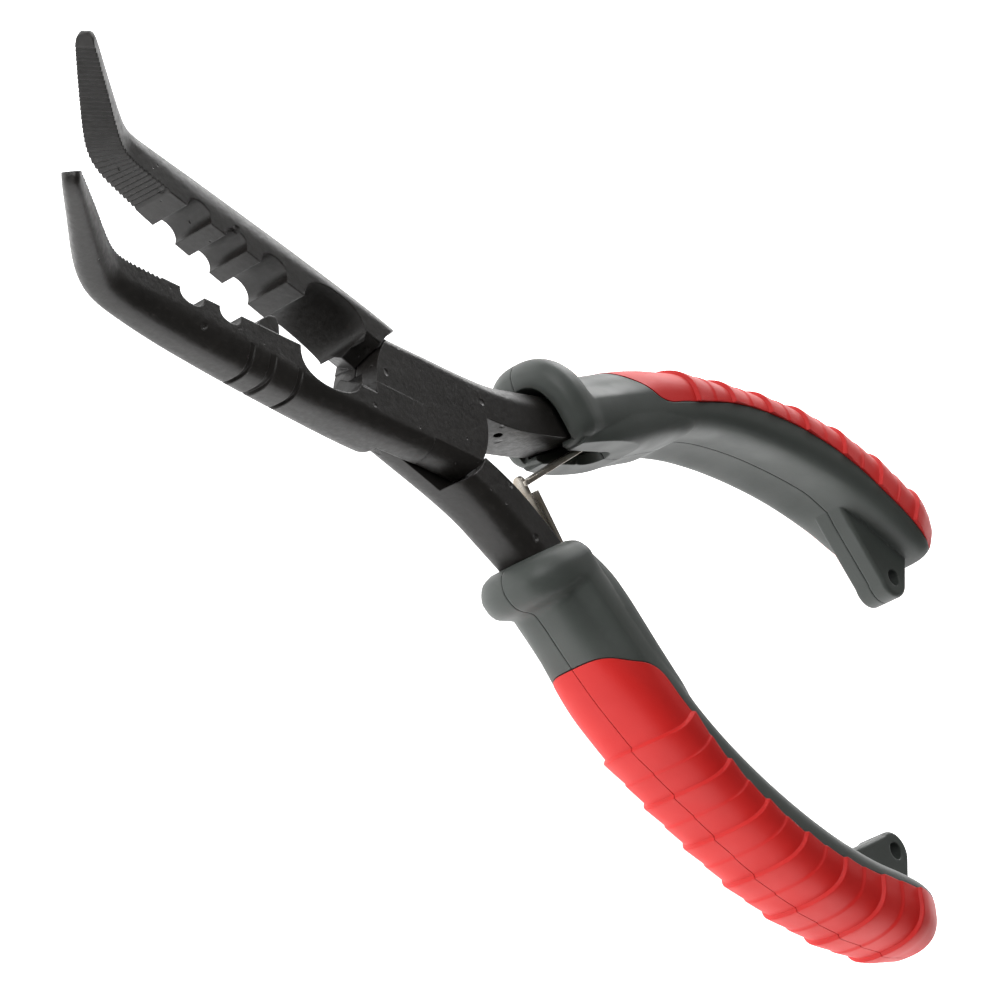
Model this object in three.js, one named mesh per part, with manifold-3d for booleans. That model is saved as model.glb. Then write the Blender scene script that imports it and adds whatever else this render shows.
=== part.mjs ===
// Bent long-nose fishing pliers: two crossed steel halves on one rivet, two interlocked leaf
// springs that push the handles open, and a moulded grip on each handle, made of two grey
// half-shells and two red pads.
//
// Frame, in millimetres: the pivot axis is Z and the joint's front face looks along +Z. The jaws
// point along -X with the tips bent up towards +Z, and the handles point along +X. The origin is
// on the joint's front face. Each half is drawn closed, along the X axis and with the joint's
// middle plane at Z = 0, and is then turned about the pivot by half of the opening angle.
import * as THREE from "three";
import { mergeVertices } from "three/addons/utils/BufferGeometryUtils.js";
import Module from "manifold-3d";

const wasm = await Module();
wasm.setup();

// ---- driving dimensions -------------------------------------------------------------------
const HALF_OPENING = THREE.MathUtils.degToRad(7.7); // each half stands this far from closed
const CLEARANCE = 0.3; // between pieces that touch
const SPLIT_GAP = 0.15; // from the middle plane to each moulded half

const JOINT_RADIUS = 12; // round shoulders of the lap joint
const JOINT_HALF_WIDTH = 8.6; // across the joint, along Y
const JOINT_HALF_THICK = 4.6; // along Z
const JOINT_SIDE_BULGE = 5.3; // half thickness that the joint's rounded sides aim for
const JAW_RELIEF = 0.0143; // the gripping faces meet at the tips and part slowly behind them
const JAW_GAP = 0.05;
const TIP_X = -84.1;
const BAR_STEPS = 10; // facets round a jaw's or a tang's back
const ROUNDNESS = 0.67; // exponent of the rounded sections: 1 is an ellipse, 0 a box

const RIVET_RADIUS = 3.2;
const RIVET_HEAD_RADIUS = 4.4;
const RIVET_HEAD_THICK = 1.6;
const RIVET_POCKET_TOP = 3.4; // the rivet ends blind under the front face

const PAD_THICK = 2.2; // red layer over the grey core
const PAD_PROUD = 0.1; // the red stands this far out of the grey at its rim
const SCALE_COUNT = 7; // overlapping bands of the red pad, each with a lower band in its middle
const SCALE_START = 58.3; // front edge of the first band, along X, at the pad's rim
const SCALE_PITCH = 9.25;
const SCALE_HEIGHT = 0.6; // each band stands up at its front edge and tapers to nothing
const SCALE_MIDDLE = 0.35;
const SCALE_EDGE = 0.5; // length of the step at a band's front edge
const SCALE_BOW = 1.2; // the bands bow forwards over the middle of the back by this much
const GRIP_FACETS = 24;
const BACK_ROUNDNESS = 0.8; // exponents of the grip's section: back, sides and palm side
const SIDE_ROUNDNESS = 0.6;
const PALM_ROUNDNESS = 0.5;

const LUG_X = 112.2; // lanyard lug at the end of each grip
const LUG_Y = 11.3;
const LUG_RADIUS = 3.4;
const LUG_HALF_THICK = 3;
const LUG_HOLE_RADIUS = 1.45;

const RIVET_CLEARANCE = 0.08;

const LEAF_ROOT = [41, 10.9]; // where each leaf bends away from its foot
const LEAF_ANGLE = THREE.MathUtils.degToRad(180 + 39.6);
const LEAF_REACH = 21.9; // from the root to where the two leaves cross
const LEAF_TONGUE_PAST = 2.6;
const LEAF_FOOT = 11;
const SPRING_RIVET_RADIUS = 1.1;
const FOOT_ANGLE = THREE.MathUtils.degToRad(28);
const CHANNEL_HALF_WIDTH = 2.7;
const LEAF_THICK = 0.8;
const LEAF_HALF_WIDTH = 2.3;
const LEAF_TONGUE_HALF_WIDTH = 0.9;
const LEAF_FORK_HALF_WIDTH = 1.25;
const LEAF_OVERLAP = 3; // length of the fork and of the tongue that passes through it

// Outlines seen along Z: the lug's root in the grip, the leaf's channel, and the boss round its mouth.
const LUG_ROOT = [[116.4, 16.5], [114, 22], [98.5, 22], [101.5, 18.2]];
const CHANNEL = [[18, -4], [33, 2], [42.2, 8], [43.4, 10.8], [42.8, 13], [38, 11], [18, 4.5]];
const BOSS = [[32, 4.9], [45.8, 10.4], [48.4, 13.6], [44, 16], [34, 11]];
const BOSS_HALF_WIDTH = 6.2;
const PAST_ALL = 130; // further out than any piece

// Jaw: stations along the middle line of the gripping face, as [x, z, half width, height, cap].
// The cap flattens the two sides at that half thickness.
const JAW = [
  [0, 0, 5.3, 7.5, 4.6],
  [-13, 0, 5.2, 8.2, 4.6],
  [-28, 0, 4.5, 8.3, 4.2],
  [-40, 0, 4.1, 7.9, 3.95],
  [-51, 0.1, 3.75, 7.3, 3.65],
  [-59, 0.4, 3.4, 6.6, 3.25],
  [-63, 0.8, 3.2, 6.1, 3.05],
  [-66, 1.8, 2.95, 5.7, 2.85],
  [-69.5, 4.1, 2.7, 5.1, 2.6],
  [-76, 9.3, 2.1, 4.0, 2.1],
  [-82.2, 14.3, 1.55, 3.0, 1.5],
  [TIP_X, 15.8, 1.2, 2.1, 1.2],
];
// Half-round crimping notches across the gripping face: [x from, x to, depth].
const UPPER_NOTCHES = [
  [-51.5, -46.7, 2.3],
  [-43.7, -39.4, 2.3],
  [-36.6, -31.2, 2.8],
];
const LOWER_NOTCHES = [
  [-51.5, -46.7, 2.0],
  [-43.7, -39.4, 2.0],
];
const CRIMP_TOOTH = [-36.1, -31.7, 2.1]; // from, to and height over the middle plane
const CRIMP_ROOT = 1.5; // how deep the teeth are rooted in the jaw
const CRIMP_HALF_WIDTH = 3.9;
const CRIMP_PROFILE = [
  [0, -0.2],
  [0.25, 0.4],
  [0.5, 0.82],
  [0.75, 1],
  [0.92, 0.85],
  [1, 0.4],
];
const RECESS = [-27.6, -15.2, 4.9]; // large rounded gap in front of the cutter
const RECESS_FAR_DEPTH = 1; // its depth at the upper jaw's far side
const RECESS_HALF_WIDTH = 4.3; // the two depths are this far from the middle plane
const SERRATION_PITCH = 0.95;
const SERRATION_DEPTH = 0.34;
const SERRATION_END_X = -55.1;
const BACK_GROOVES = [
  [-37.3, 0.9],
  [-33.2, 1.3],
  [-27.8, 0.9],
]; // engraved across the lower jaw's back: [x, width]
const GROOVE_DEPTH = 0.6;
const GROOVE_Y = [4.5, 12]; // the grooves lie this far out from the gripping face
const CUTTER_X = [-15.2, -12.1];
const CUTTER_DEPTH = 3;
const NOTCH_STEPS = 8;

// Steel tang: stations along its inner face, as [x, y, half width, depth, cap].
const TANG = [
  [-12, 1.8, 5.3, 6.9, 4.6],
  [-2, 1.9, 5.3, 6.95, 4.6],
  [9, 2.0, 5.2, 7.1, 4.6],
  [16, 2.3, 5.0, 7.6, 4.5],
  [22, 3.4, 4.8, 8.0, 4.4],
  [31, 6.2, 4.4, 7.8, 4.2],
  [38, 10.5, 3.6, 6.4, 3.6],
  [46, 14.9, 2.8, 5.4, 2.8],
  [60, 20.4, 2.5, 4.8, 2.5],
  [74, 23.4, 2.5, 4.6, 2.5],
  [90, 24.6, 2.5, 4.4, 2.5],
  [104, 23.4, 2.4, 4.2, 2.4],
];
// Grip: stations along its middle line, as [x, y, outward depth, inward depth, half width].
const GRIP = [
  [28.4, 8.0, 7.2, 3.2, 5.9],
  [29.0, 8.5, 9.3, 4.4, 7.4],
  [30.4, 9.6, 10.5, 5.3, 8.3],
  [31.6, 10.5, 10.3, 5.5, 8.4],
  [32.7, 11.2, 9.0, 5.7, 8.3],
  [33.9, 11.9, 6.7, 5.8, 7.9],
  [35.6, 12.8, 6.2, 5.9, 7.7],
  [39, 14.4, 6.3, 6.0, 7.7],
  [44, 16.7, 6.4, 5.9, 7.9],
  [49, 18.9, 6.3, 5.8, 8.0],
  [56, 21.6, 5.9, 5.6, 8.2],
  [60, 22.9, 5.6, 5.3, 8.2],
  [67, 24.5, 5.4, 5.0, 8.2],
  [76, 26.0, 5.5, 5.2, 8.2],
  [86, 26.9, 5.8, 5.7, 8.2],
  [95, 26.7, 5.9, 5.9, 8.2],
  [104, 25.3, 6.1, 5.9, 8.1],
  [111, 23.3, 6.2, 5.8, 8.0],
  [116, 21.6, 6.1, 5.5, 7.5],
  [119, 20.4, 5.5, 4.7, 6.6],
  [120.6, 19.9, 4.1, 3.2, 4.9],
];
// Edge between grey and red, seen along Z.
const PAD_EDGE = [
  [38.6, 24],
  [40.6, 21.6],
  [45, 20.2],
  [50.5, 18.7],
  [57, 21],
  [70, 25.4],
  [84, 26.8],
  [97, 25.4],
  [109, 21.6],
  [124, 15.8],
];

// ---- solids -------------------------------------------------------------------------------
// A closed geometry as a solid with its faces outward.
function solid(geometry) {
  const bare = geometry.index ? geometry.toNonIndexed() : geometry;
  const clean = new THREE.BufferGeometry();
  clean.setAttribute("position", bare.getAttribute("position"));
  const merged = mergeVertices(clean, 1e-4);
  const vertProperties = new Float32Array(merged.attributes.position.array);
  const triVerts = new Uint32Array(merged.index.array);
  const body = new wasm.Manifold(new wasm.Mesh({ numProp: 3, vertProperties, triVerts }));
  if (body.volume() > 0) return body;
  for (let i = 0; i < triVerts.length; i += 3) {
    [triVerts[i + 1], triVerts[i + 2]] = [triVerts[i + 2], triVerts[i + 1]];
  }
  return new wasm.Manifold(new wasm.Mesh({ numProp: 3, vertProperties, triVerts }));
}

function piece(name, body, material) {
  const made = body.getMesh();
  const geometry = new THREE.BufferGeometry();
  geometry.setAttribute("position", new THREE.BufferAttribute(made.vertProperties, 3));
  geometry.setIndex(new THREE.BufferAttribute(made.triVerts, 1));
  geometry.computeVertexNormals();
  const mesh = new THREE.Mesh(geometry, material);
  mesh.name = name;
  return mesh;
}

// A closed body through rings of points, each ring with the same number of points.
function loft(rings) {
  const count = rings[0].length;
  const points = rings.flat();
  const faces = [];
  for (let r = 0; r + 1 < rings.length; r++) {
    for (let i = 0; i < count; i++) {
      const j = (i + 1) % count;
      const a = r * count + i;
      const b = r * count + j;
      faces.push(a, a + count, b, b, a + count, b + count);
    }
  }
  const last = (rings.length - 1) * count;
  for (let i = 1; i + 1 < count; i++) {
    faces.push(0, i, i + 1);
    faces.push(last, last + i + 1, last + i);
  }
  const geometry = new THREE.BufferGeometry();
  const flat = points.flatMap((p) => [p.x, p.y, p.z]);
  geometry.setAttribute("position", new THREE.BufferAttribute(new Float32Array(flat), 3));
  geometry.setIndex(faces);
  return solid(geometry);
}

// A flat outline in XY, extruded along Z from one height to another.
function slab(outline, low, high) {
  const shape = new THREE.Shape(outline.map(([x, y]) => new THREE.Vector2(x, y)));
  const geometry = new THREE.ExtrudeGeometry(shape, { depth: high - low, bevelEnabled: false });
  geometry.translate(0, 0, low);
  return solid(geometry);
}

function box(x0, x1, y0, y1, z0, z1) {
  const geometry = new THREE.BoxGeometry(x1 - x0, y1 - y0, z1 - z0);
  geometry.translate((x0 + x1) / 2, (y0 + y1) / 2, (z0 + z1) / 2);
  return solid(geometry);
}

// A cylinder along Z.
function post(x, y, radius, low, high, sides = 32) {
  const geometry = new THREE.CylinderGeometry(radius, radius, high - low, sides);
  geometry.rotateX(Math.PI / 2);
  geometry.translate(x, y, (low + high) / 2);
  return solid(geometry);
}

// Smooth values between stations: the first number of each station is the parameter.
function between(stations, steps) {
  const rows = [];
  for (let i = 0; i + 1 < stations.length; i++) {
    const before = stations[Math.max(i - 1, 0)];
    const from = stations[i];
    const to = stations[i + 1];
    const after = stations[Math.min(i + 2, stations.length - 1)];
    const parts = typeof steps === "function" ? steps(from[0], to[0]) : steps;
    for (let k = 0; k < parts; k++) {
      rows.push(from.map((_, c) => cubic(before[c], from[c], to[c], after[c], k / parts)));
    }
  }
  rows.push(stations[stations.length - 1]);
  return rows;
}

function cubic(a, b, c, d, t) {
  const slope0 = (c - a) / 2;
  const slope1 = (d - b) / 2;
  const t2 = t * t;
  const t3 = t2 * t;
  return (2 * t3 - 3 * t2 + 1) * b + (t3 - 2 * t2 + t) * slope0 +
    (3 * t2 - 2 * t3) * c + (t3 - t2) * slope1;
}

// One ring of a bar with one flat face: half width, depth to the rounded back, side cap.
function dRing(width, depth, cap) {
  const ring = [];
  for (let i = 0; i <= BAR_STEPS; i++) {
    const angle = (Math.PI * i) / BAR_STEPS;
    const across = Math.sign(Math.cos(angle)) * Math.abs(Math.cos(angle)) ** ROUNDNESS * width;
    const up = Math.abs(Math.sin(angle)) ** ROUNDNESS * depth;
    ring.push([THREE.MathUtils.clamp(across, -cap, cap), up]);
  }
  return ring;
}

// Distance of the gripping face from the middle plane when the pliers are closed.
const relief = (x) => JAW_GAP + JAW_RELIEF * Math.max(0, x - TIP_X - 4);

// ---- steel halves ---------------------------------------------------------------------------
// side is +1 where the piece lies at positive Y when closed, and -1 where it is at negative Y.
function jaw(side, trim = 0) {
  const rows = between(JAW, (from) => (from < -50 ? 3 : 2));
  const rings = rows.map(([x, z, width, height, cap], i) => {
    const [x0, z0] = rows[Math.max(i - 1, 0)];
    const [x1, z1] = rows[Math.min(i + 1, rows.length - 1)];
    const along = new THREE.Vector2(x1 - x0, z1 - z0).normalize();
    return dRing(width, height - trim, cap).map(
      ([across, up]) =>
        new THREE.Vector3(x + along.y * across, side * (up + relief(x)), z - along.x * across),
    );
  });
  return loft(rings);
}

// The outline of a round-bottomed notch, cut to its depth below the gripping face.
function notchOutline([from, to, depth], side) {
  const middle = (from + to) / 2;
  const half = (to - from) / 2;
  const outline = [[from, -side * 3]];
  for (let i = 0; i <= NOTCH_STEPS; i++) {
    const angle = Math.PI * (1 - i / NOTCH_STEPS);
    const cut = relief(middle) + depth * Math.sin(angle) ** 0.7;
    outline.push([middle + half * Math.cos(angle), side * cut]);
  }
  outline.push([to, -side * 3]);
  return side > 0 ? outline : outline.reverse();
}

// The same notch through the jaw, with a depth of its own on the side away from +Z.
function taperedNotch([from, to, near], side, far) {
  const slope = (near - far) / (2 * RECESS_HALF_WIDTH);
  const rings = [-5, 8].map((z) =>
    notchOutline([from, to, (near + far) / 2 + slope * z], side).map(
      ([x, y]) => new THREE.Vector3(x, y, z),
    ),
  );
  return loft(rings);
}

// V-shaped grooves across the gripping face, square to the jaw's bent middle line.
function cutSerrations(body, side) {
  const path = new THREE.CatmullRomCurve3(
    between(JAW, 6).filter(([x]) => x <= SERRATION_END_X).map(([x, z]) => new THREE.Vector3(x, 0, z)),
  );
  const count = Math.floor(path.getLength() / SERRATION_PITCH) - 1;
  for (let i = 1; i < count; i++) {
    const at = path.getPointAt(i / (count + 1));
    const along = path.getTangentAt(i / (count + 1));
    const half = SERRATION_PITCH * 0.36;
    const outline = [[-half, 0.6], [half, 0.6], [half, 0.02], [0, -SERRATION_DEPTH], [-half, 0.02]];
    const shape = new THREE.Shape(outline.map(([u, v]) => new THREE.Vector2(u, v)));
    const groove = new THREE.ExtrudeGeometry(shape, { depth: 16, bevelEnabled: false });
    groove.translate(0, 0, -8);
    groove.scale(1, -side, 1);
    groove.rotateY(Math.atan2(-along.z, along.x));
    groove.translate(at.x, side * relief(at.x), at.z);
    body = body.subtract(solid(groove));
  }
  return body;
}

// The teeth that stand up from the lower jaw into the upper jaw's last notch.
function crimpTooth(side) {
  const [from, to, height] = CRIMP_TOOTH;
  const length = to - from;
  const crest = CRIMP_PROFILE.map(([along, up]) => [from + along * length, -side * up * height]);
  const outline = [[from, side * CRIMP_ROOT], ...crest, [to, side * CRIMP_ROOT]];
  return slab(outline, -CRIMP_HALF_WIDTH, CRIMP_HALF_WIDTH);
}

// Shallow grooves across the back of the jaw, which fade out towards the gripping face.
function cutBackGrooves(body, side) {
  const core = jaw(side, GROOVE_DEPTH);
  const [low, high] = side > 0 ? GROOVE_Y : [-GROOVE_Y[1], -GROOVE_Y[0]];
  for (const [x, width] of BACK_GROOVES) {
    const band = box(x - width / 2, x + width / 2, low, high, -8, 8);
    body = body.subtract(band.subtract(core));
  }
  return body;
}

// A bevelled cutting edge beside the joint. It closes the relief between the two jaws.
function cutEdge(body, side) {
  const [from, to] = CUTTER_X;
  const [flat, deep] = side > 0 ? [-2, CUTTER_DEPTH] : [-CUTTER_DEPTH, 2];
  const bevel = [[-5, CUTTER_DEPTH], [-0.2, 0.1], [0.2, 0.1], [5, CUTTER_DEPTH]];
  const outline = [...bevel, [5, CUTTER_DEPTH + 1], [-5, CUTTER_DEPTH + 1]];
  const shape = new THREE.Shape(outline.map(([z, y]) => new THREE.Vector2(z, side * y)));
  const wedge = new THREE.ExtrudeGeometry(shape, { depth: to - from, bevelEnabled: false });
  wedge.rotateY(Math.PI / 2);
  wedge.translate(from, 0, 0);
  const limit = box(from, to, -20, 20, -4.4, 4.4);
  return body.subtract(box(from, to, flat, deep, -9, 9)).add(solid(wedge).intersect(limit));
}

// A steel handle bar. A margin makes the hollow that it sits in.
function tang(side, margin = 0) {
  const rows = between(TANG, 2);
  const rings = rows.map(([x, y, width, depth, cap], i) => {
    const [x0, y0] = rows[Math.max(i - 1, 0)];
    const [x1, y1] = rows[Math.min(i + 1, rows.length - 1)];
    const along = new THREE.Vector2(x1 - x0, y1 - y0).normalize();
    const past = i === rows.length - 1 ? margin : 0;
    return dRing(width + margin, depth + 2 * margin, cap + margin).map(([across, up]) => {
      const out = up - margin;
      return new THREE.Vector3(x + past - along.y * out, side * (y + along.x * out), across);
    });
  });
  return loft(rings);
}

// The round plate of the lap joint, on one side of the middle plane, with rounded long sides.
function jointPlate(face) {
  const reach = JOINT_RADIUS + 2;
  const ring = [];
  for (let i = 0; i < 4 * BAR_STEPS; i++) {
    const angle = (Math.PI * i) / (2 * BAR_STEPS);
    const wave = (value) => Math.sign(value) * Math.abs(value) ** ROUNDNESS;
    ring.push([wave(Math.cos(angle)) * JOINT_HALF_WIDTH, wave(Math.sin(angle)) * JOINT_SIDE_BULGE]);
  }
  const rings = [-reach, reach].map((x) => ring.map(([y, z]) => new THREE.Vector3(x, y, z)));
  const low = face > 0 ? SPLIT_GAP : -JOINT_HALF_THICK;
  const high = face > 0 ? JOINT_HALF_THICK : -SPLIT_GAP;
  return loft(rings).intersect(post(0, 0, JOINT_RADIUS, low, high, 64));
}

// One forging: the jaw on one side, the tang on the other, and the plate that joins them.
function steelHalf(jawSide, face) {
  let blade = jaw(jawSide);
  for (const notch of jawSide > 0 ? UPPER_NOTCHES : LOWER_NOTCHES) {
    blade = blade.subtract(slab(notchOutline(notch, jawSide), -8, 8));
  }
  const far = jawSide > 0 ? RECESS_FAR_DEPTH : RECESS[2];
  blade = blade.subtract(taperedNotch(RECESS, jawSide, far));
  blade = cutSerrations(blade, jawSide);
  blade = cutEdge(blade, jawSide);
  if (jawSide < 0) blade = cutBackGrooves(blade, jawSide).add(crimpTooth(jawSide));
  const low = face > 0 ? -20 : -SPLIT_GAP;
  const high = face > 0 ? SPLIT_GAP : 20;
  const swept = post(0, 0, JOINT_RADIUS + CLEARANCE, low, high, 64);
  const ahead = box(0, PAST_ALL, -PAST_ALL, PAST_ALL, -PAST_ALL, PAST_ALL);
  const handle = ahead.add(post(0, 0, JOINT_RADIUS, -PAST_ALL, PAST_ALL, 64));
  blade = blade.add(tang(-jawSide).intersect(handle));
  return blade.subtract(swept).add(jointPlate(face));
}

// ---- rivet and leaf springs -------------------------------------------------------------------
// The pivot rivet, as a closed profile turned about the Z axis, grown by a margin for its hole.
function rivet(margin = 0) {
  const bottom = -JOINT_HALF_THICK - (margin > 0 ? 1 : 0);
  const shoulder = -JOINT_HALF_THICK + RIVET_HEAD_THICK + margin;
  const top = RIVET_POCKET_TOP + margin;
  const profile = [
    [0, bottom],
    [RIVET_HEAD_RADIUS + margin, bottom],
    [RIVET_HEAD_RADIUS + margin, shoulder],
    [RIVET_RADIUS + margin, shoulder],
    [RIVET_RADIUS + margin, top],
    [0, top],
  ];
  const geometry = new THREE.LatheGeometry(profile.map(([r, y]) => new THREE.Vector2(r, y)), 32);
  geometry.rotateX(Math.PI / 2);
  return solid(geometry);
}

// Places a shape drawn with X along a leaf from its root, Y across its thickness and Z its width.
function onLeaf(geometry, side) {
  geometry.rotateZ(LEAF_ANGLE);
  geometry.translate(LEAF_ROOT[0], LEAF_ROOT[1], 0);
  if (side < 0) geometry.scale(1, -1, 1);
  return geometry;
}

// A leaf from its fixed foot on the tang to its free end. The upper leaf ends in a fork, and the
// lower one in a round tongue that passes through it.
function leafSpring(side) {
  const outline = side > 0 ? forkOutline() : tongueOutline();
  const shape = new THREE.Shape(outline.map(([x, z]) => new THREE.Vector2(x, z)));
  const blade = new THREE.ExtrudeGeometry(shape, { depth: LEAF_THICK, bevelEnabled: false });
  blade.rotateX(Math.PI / 2);
  blade.translate(0, LEAF_THICK / 2, 0);
  const foot = new THREE.BoxGeometry(LEAF_FOOT, LEAF_THICK, 2 * LEAF_HALF_WIDTH);
  foot.translate(LEAF_FOOT / 2 - 0.3, 0, 0);
  foot.rotateZ(FOOT_ANGLE);
  foot.translate(LEAF_ROOT[0], LEAF_ROOT[1], 0);
  if (side < 0) foot.scale(1, -1, 1);
  return solid(onLeaf(blade, side)).add(solid(foot)).subtract(springRivet(side, 0.1));
}

function forkOutline() {
  const end = LEAF_REACH + 1.3;
  const slot = LEAF_REACH - LEAF_OVERLAP / 2;
  return [
    [-0.3, -LEAF_HALF_WIDTH],
    [end, -LEAF_HALF_WIDTH],
    [end, -LEAF_FORK_HALF_WIDTH],
    [slot, -LEAF_FORK_HALF_WIDTH],
    [slot, LEAF_FORK_HALF_WIDTH],
    [end, LEAF_FORK_HALF_WIDTH],
    [end, LEAF_HALF_WIDTH],
    [-0.3, LEAF_HALF_WIDTH],
  ];
}

function tongueOutline() {
  const neck = LEAF_REACH - LEAF_OVERLAP / 2;
  const end = LEAF_REACH + LEAF_TONGUE_PAST - LEAF_TONGUE_HALF_WIDTH;
  const outline = [[-0.3, -LEAF_HALF_WIDTH], [neck, -LEAF_HALF_WIDTH]];
  for (let i = 0; i <= 8; i++) {
    const angle = Math.PI * (i / 8 - 0.5);
    const x = end + Math.cos(angle) * LEAF_TONGUE_HALF_WIDTH;
    outline.push([x, Math.sin(angle) * LEAF_TONGUE_HALF_WIDTH]);
  }
  outline.splice(2, 0, [neck, -LEAF_TONGUE_HALF_WIDTH]);
  outline.push([neck, LEAF_TONGUE_HALF_WIDTH], [neck, LEAF_HALF_WIDTH], [-0.3, LEAF_HALF_WIDTH]);
  return outline;
}

// A small rivet through a leaf's foot into the tang.
function springRivet(side, margin = 0) {
  const low = -LEAF_THICK / 2 - (margin > 0 ? 2 : 0.9);
  const high = 3.4 + margin;
  const radius = SPRING_RIVET_RADIUS + margin;
  const geometry = new THREE.CylinderGeometry(radius, radius, high - low, 20);
  geometry.translate(LEAF_FOOT * 0.62, (low + high) / 2, 0);
  geometry.rotateZ(FOOT_ANGLE);
  geometry.translate(LEAF_ROOT[0], LEAF_ROOT[1], 0);
  if (side < 0) geometry.scale(1, -1, 1);
  return solid(geometry);
}

// ---- grips --------------------------------------------------------------------------------------
const gripLine = between(GRIP, 6);

// A grip station at any distance along X.
function gripAt(x) {
  const last = gripLine.length - 1;
  const found = gripLine.findIndex((row) => row[0] >= x);
  const i = found < 0 ? last : Math.max(1, found);
  const [a, b] = [gripLine[i - 1], gripLine[i]];
  const t = THREE.MathUtils.clamp((x - a[0]) / (b[0] - a[0]), 0, 1);
  return a.map((value, c) => value + (b[c] - value) * t);
}

// A point on the grip's surface, at an angle round it, made smaller by a trim.
function gripPoint(side, x, angle, trim) {
  const [middle, y, out, inner, width] = gripAt(x);
  const [x0, y0] = gripAt(x - 0.4);
  const [x1, y1] = gripAt(x + 0.4);
  const along = new THREE.Vector2(x1 - x0, y1 - y0).normalize();
  const wave = (value, power) => Math.sign(value) * Math.abs(value) ** power;
  const up = Math.sin(angle);
  const reach = up > 0
    ? (out - trim) * wave(up, BACK_ROUNDNESS)
    : (inner - trim) * wave(up, PALM_ROUNDNESS);
  const power = up > 0 ? BACK_ROUNDNESS : SIDE_ROUNDNESS;
  const across = (width - trim) * wave(Math.cos(angle), power);
  return new THREE.Vector3(middle - along.y * reach, side * (y + along.x * reach), across);
}

function gripRing(side, x, trim, height) {
  const ring = [];
  for (let k = 0; k < GRIP_FACETS; k++) {
    const angle = (2 * Math.PI * (k + 0.5)) / GRIP_FACETS;
    ring.push(gripPoint(side, x, angle, trim - height));
  }
  return ring;
}

// The grip's outer form, made smaller by a trim.
function gripBody(side, trim = 0) {
  const end = GRIP[GRIP.length - 1][0] - trim;
  const rows = between(GRIP, (from) => (from > 60 ? 1 : 2)).map(([x]) => x);
  return loft(rows.filter((x) => x <= end).map((x) => gripRing(side, x, trim, 0)));
}

// The grip's outer form with the pad's overlapping scales, whose edges bow forwards.
function scaledBody(side) {
  const end = GRIP[GRIP.length - 1][0];
  const rings = scaleRows().map((row) => {
    const ring = [];
    for (let k = 0; k < GRIP_FACETS; k++) {
      const angle = (2 * Math.PI * (k + 0.5)) / GRIP_FACETS;
      const bow = row < SCALE_START - 2 ? 0 : SCALE_BOW * Math.max(0, Math.sin(angle)) ** 2;
      ring.push(gripPoint(side, Math.min(row - bow, end), angle, -PAD_PROUD - scaleHeight(row)));
    }
    return ring;
  });
  rings.push(gripRing(side, end - 1.5, 0, PAD_PROUD));
  rings.push(gripRing(side, end, 0, PAD_PROUD));
  return loft(rings);
}

// Height of the pad's scales at a distance along the grip.
function scaleHeight(x) {
  const place = (x - SCALE_START) / SCALE_PITCH;
  if (place < 0 || place >= SCALE_COUNT) return 0;
  const share = place - Math.floor(place);
  return share < 0.5
    ? THREE.MathUtils.lerp(SCALE_HEIGHT, 0.1, share * 2)
    : THREE.MathUtils.lerp(SCALE_MIDDLE, 0, share * 2 - 1);
}

// Distances along the grip where the pad's surface has a corner.
function scaleRows() {
  const rows = GRIP.map(([x]) => x).filter((x) => x < SCALE_START - 2);
  for (let i = 0; i < 2 * SCALE_COUNT; i++) {
    const x = SCALE_START + (i * SCALE_PITCH) / 2;
    rows.push(x - SCALE_EDGE, x);
  }
  const end = GRIP[GRIP.length - 1][0];
  return rows.filter((x) => x < end - 3);
}

// The zone of the red pad, seen along Z, moved inwards by a shift.
function padZone(side, shift) {
  const edge = new THREE.SplineCurve(PAD_EDGE.map(([x, y]) => new THREE.Vector2(x, y - shift)));
  const points = edge.getPoints(24).map((p) => [p.x - (p.x < 45 ? shift : 0), side * p.y]);
  const outline = [...points, [126, side * 60], [30, side * 60]];
  return slab(side > 0 ? outline : outline.reverse(), -20, 20);
}

function lug(side) {
  const outline = [];
  for (let i = 0; i <= 10; i++) {
    const angle = Math.PI * (1.12 + i / 12);
    outline.push([LUG_X + LUG_RADIUS * Math.cos(angle), LUG_Y + LUG_RADIUS * Math.sin(angle)]);
  }
  outline.push(...LUG_ROOT);
  const flat = outline.map(([x, y]) => [x, side * y]);
  return slab(side > 0 ? flat : flat.reverse(), -LUG_HALF_THICK, LUG_HALF_THICK);
}

// The open channel under the tang, from the collar's mouth to the slot where the leaf goes in.
function leafChannel(side) {
  const flat = CHANNEL.map(([x, y]) => [x, side * y]);
  const mouth = slab(side > 0 ? flat : flat.reverse(), -CHANNEL_HALF_WIDTH, CHANNEL_HALF_WIDTH);
  const foot = new THREE.BoxGeometry(LEAF_FOOT + 2, 3.4, 2 * CHANNEL_HALF_WIDTH);
  foot.translate(LEAF_FOOT / 2, -0.2, 0);
  foot.rotateZ(FOOT_ANGLE);
  foot.translate(LEAF_ROOT[0], LEAF_ROOT[1], 0);
  if (side < 0) foot.scale(1, -1, 1);
  return mouth.add(solid(foot));
}

// The flat boss that the channel opens through.
function channelBoss(side) {
  const flat = BOSS.map(([x, y]) => [x, side * y]);
  return slab(side > 0 ? flat : flat.reverse(), -BOSS_HALF_WIDTH, BOSS_HALF_WIDTH);
}

function gripPieces(side) {
  const core = gripBody(side, PAD_THICK);
  const zone = padZone(side, CLEARANCE / 2);
  const shell = gripBody(side)
    .subtract(zone.subtract(core))
    .add(lug(side))
    .add(channelBoss(side))
    .subtract(leafChannel(side))
    .subtract(tang(side, CLEARANCE))
    .subtract(post(LUG_X, side * LUG_Y, LUG_HOLE_RADIUS, -9, 9, 24));
  const pad = scaledBody(side)
    .intersect(padZone(side, -CLEARANCE / 2))
    .subtract(gripBody(side, PAD_THICK - CLEARANCE));
  return { shell, pad };
}

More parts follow.
